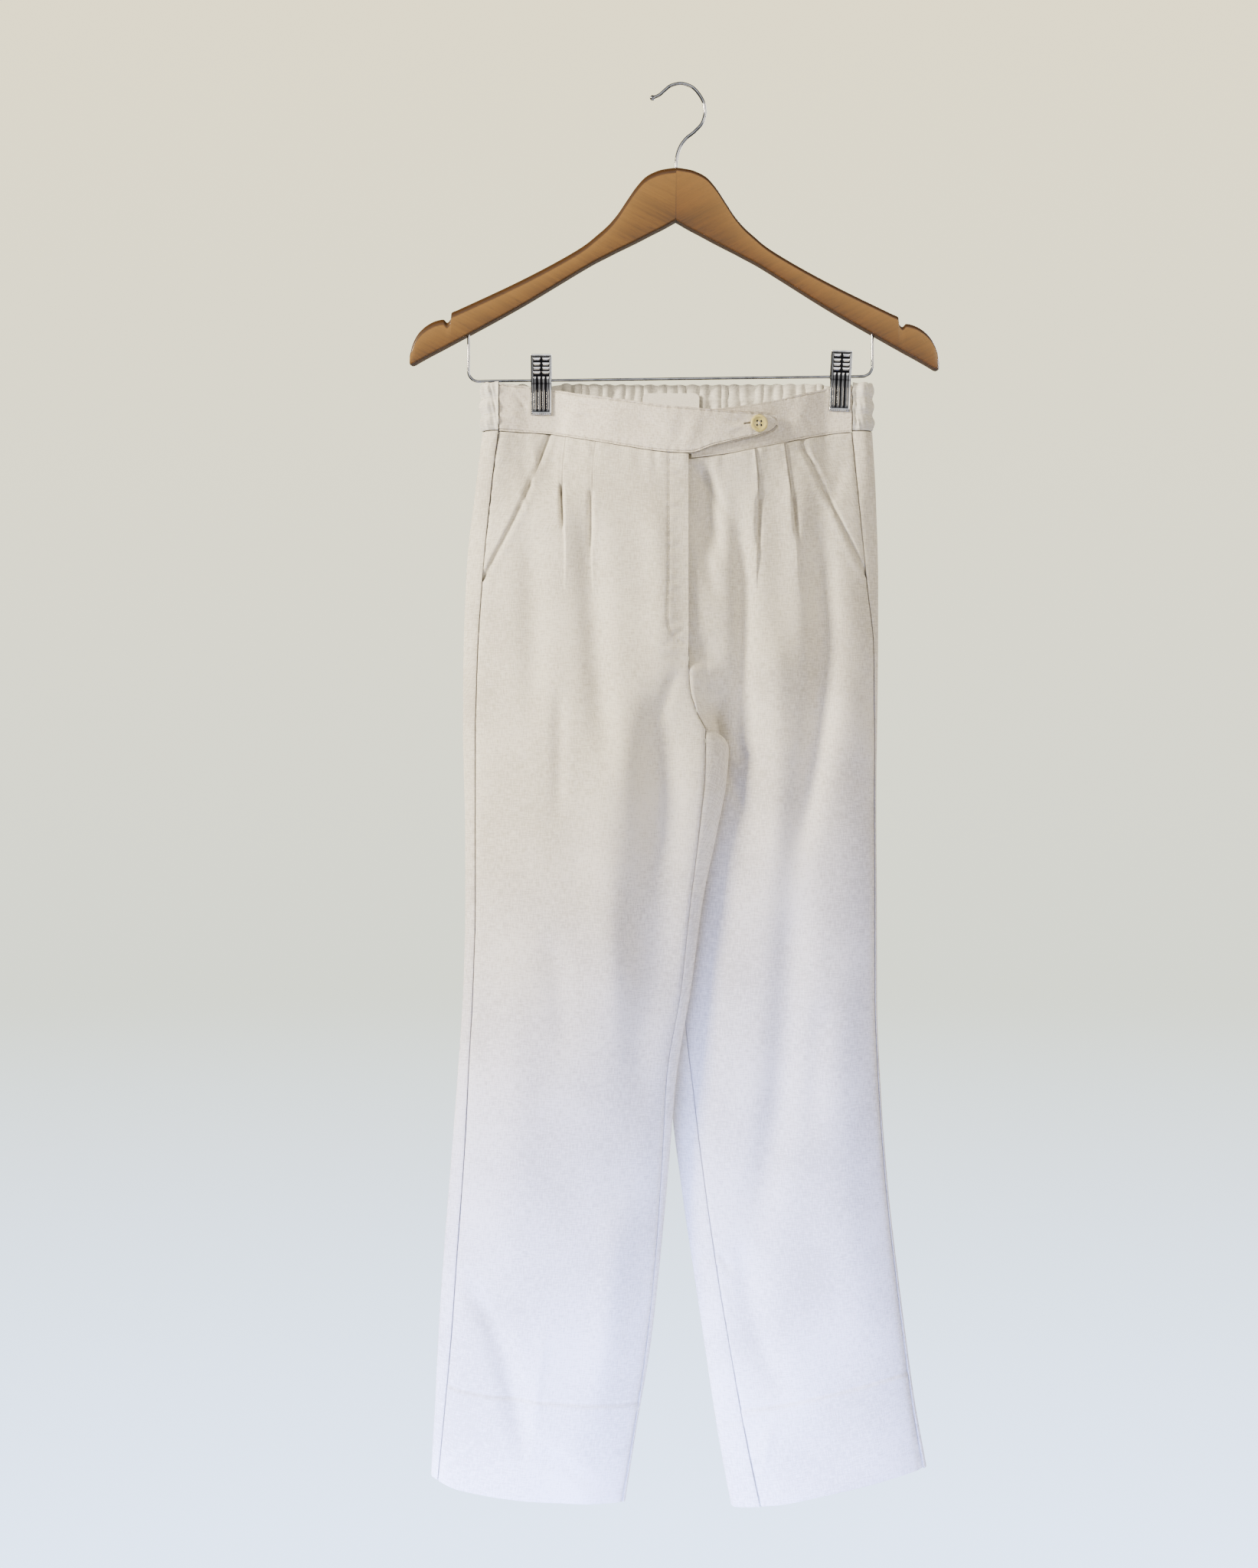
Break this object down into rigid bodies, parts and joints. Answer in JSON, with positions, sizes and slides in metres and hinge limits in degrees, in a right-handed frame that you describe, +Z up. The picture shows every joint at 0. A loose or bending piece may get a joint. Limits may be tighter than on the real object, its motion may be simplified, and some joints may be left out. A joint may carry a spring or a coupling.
{
  "type": "tailored trousers on a clip hanger",
  "caption": "Flat-hung tailored trousers with pleats, slant pockets, a buttoned tab and a part-elastic waist, clipped to a wooden hanger.",
  "frame": {"origin": "the hook's bearing point, on the inside of its top, where it rests on a rail or peg", "axes": "+Z up, +Y from the garment's front to its back, +X towards the wearer's left"},
  "size_m": [0.4441, 0.0729, 1.1967],
  "materials": {
    "white_suiting": "fine matt plain weave, slightly creased",
    "waistband_cloth": "matt plain weave, a little warmer",
    "label_cloth": "plain smooth weave",
    "button_horn": "pale yellow, polished",
    "varnished_wood": "mid brown, satin varnish",
    "steel_wire": "bright drawn wire",
    "clip_chrome": "pressed and plated sheet"
  },
  "bodies": {
    "root": {"front_right": "white_suiting", "front_left": "white_suiting", "back_right": "white_suiting", "back_left": "white_suiting", "pocket_facing_right": "white_suiting", "pocket_facing_left": "white_suiting", "waistband_front_right": "waistband_cloth", "waistband_front_left": "waistband_cloth", "waistband_back": "waistband_cloth", "label": "label_cloth", "button": "button_horn", "hanger_arm_right": "varnished_wood", "hanger_arm_left": "varnished_wood", "hook": "steel_wire", "bar": "steel_wire", "clip_right_front": "clip_chrome", "clip_right_back": "clip_chrome", "clip_right_spring": "clip_chrome", "clip_left_front": "clip_chrome", "clip_left_back": "clip_chrome", "clip_left_spring": "clip_chrome"}
  },
  "joints": []
}
